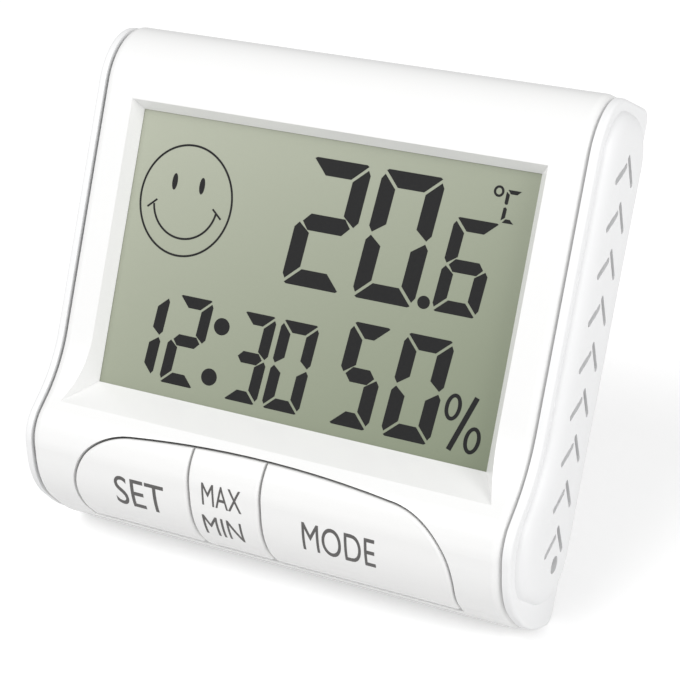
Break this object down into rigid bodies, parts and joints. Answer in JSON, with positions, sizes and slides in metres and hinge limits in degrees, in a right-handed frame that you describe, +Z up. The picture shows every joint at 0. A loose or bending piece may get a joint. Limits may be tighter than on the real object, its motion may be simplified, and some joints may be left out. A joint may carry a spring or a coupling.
{
  "type": "digital thermo-hygrometer",
  "caption": "Desktop temperature and humidity meter with clock: bevelled display, wrap-round button lip, vented domed cheeks, fold-out stand, hanging slot and magnets.",
  "frame": {"origin": "centre of the footprint at table level, standing on the open stand", "axes": "+X to the right as its user reads it, +Y to the back, +Z up; the face looks along -Y, leaning back 26.1 degrees"},
  "size_m": [0.0744, 0.0464, 0.0677],
  "materials": {
    "cover_white": "gloss",
    "shell_white": "fine satin",
    "button_white": "gloss",
    "stem_black": "satin",
    "switch_black": "matte",
    "lcd_green": "anti-glare satin",
    "glass": "polished",
    "lcd_backing": "matte",
    "frame_white": "matte",
    "strip_rubber": "matte",
    "board_green": "solder mask",
    "epoxy_black": "gloss",
    "crystal_can": "satin",
    "ceramic_tan": "matte",
    "ceramic_dark": "matte",
    "sensor_blue": "matte",
    "battery_jacket": "gloss film",
    "contact_steel": "nickel plate",
    "wire_red": "satin",
    "wire_black": "satin",
    "magnet_nickel": "nickel plate",
    "screw_steel": "zinc plate"
  },
  "bodies": {
    "case": {"front_cover": "cover_white", "rear_shell": "shell_white", "switch_housings": "switch_black", "lcd_front_polariser": "lcd_green", "lcd_front_glass": "glass", "lcd_rear_glass": "glass", "lcd_reflector": "lcd_backing", "lcd_frame": "frame_white", "contact_strip": "strip_rubber", "circuit_board": "board_green", "chip_blob": "epoxy_black", "crystal": "crystal_can", "capacitors": "ceramic_tan", "resistors": "ceramic_dark", "humidity_sensor": "sensor_blue", "thermistor": "epoxy_black", "battery": "battery_jacket", "button_contact": "contact_steel", "spring_contact": "contact_steel", "positive_wire": "wire_red", "negative_wire": "wire_black", "magnets": "magnet_nickel", "case_screws": "screw_steel", "board_screws": "screw_steel"},
    "set_button": {"set_button": "button_white", "set_switch_stem": "stem_black"},
    "max_min_button": {"max_min_button": "button_white", "max_min_switch_stem": "stem_black"},
    "mode_button": {"mode_button": "button_white", "mode_switch_stem": "stem_black"},
    "stand": {"stand": "shell_white"},
    "battery_cover": {"battery_cover": "shell_white"}
  },
  "joints": [
    {"name": "set_press", "type": "slide", "parent": "case", "child": "set_button", "axis": [0, 0.898, -0.4399], "range_m": [0, 0.0006], "stiffness_N_per_m": 600, "springref_m": -0.0004},
    {"name": "max_min_press", "type": "slide", "parent": "case", "child": "max_min_button", "axis": [0, 0.898, -0.4399], "range_m": [0, 0.0006], "stiffness_N_per_m": 600, "springref_m": -0.0004},
    {"name": "mode_press", "type": "slide", "parent": "case", "child": "mode_button", "axis": [0, 0.898, -0.4399], "range_m": [0, 0.0006], "stiffness_N_per_m": 600, "springref_m": -0.0004},
    {"name": "stand_fold", "type": "hinge", "parent": "case", "child": "stand", "pos_m": [0, 0.00634, 0.02888], "axis": [1, 0, 0], "range_deg": [-38, 0]},
    {"name": "battery_cover_off", "type": "slide", "parent": "case", "child": "battery_cover", "axis": [0, 0.898, -0.4399], "range_m": [0, 0.012]}
  ]
}
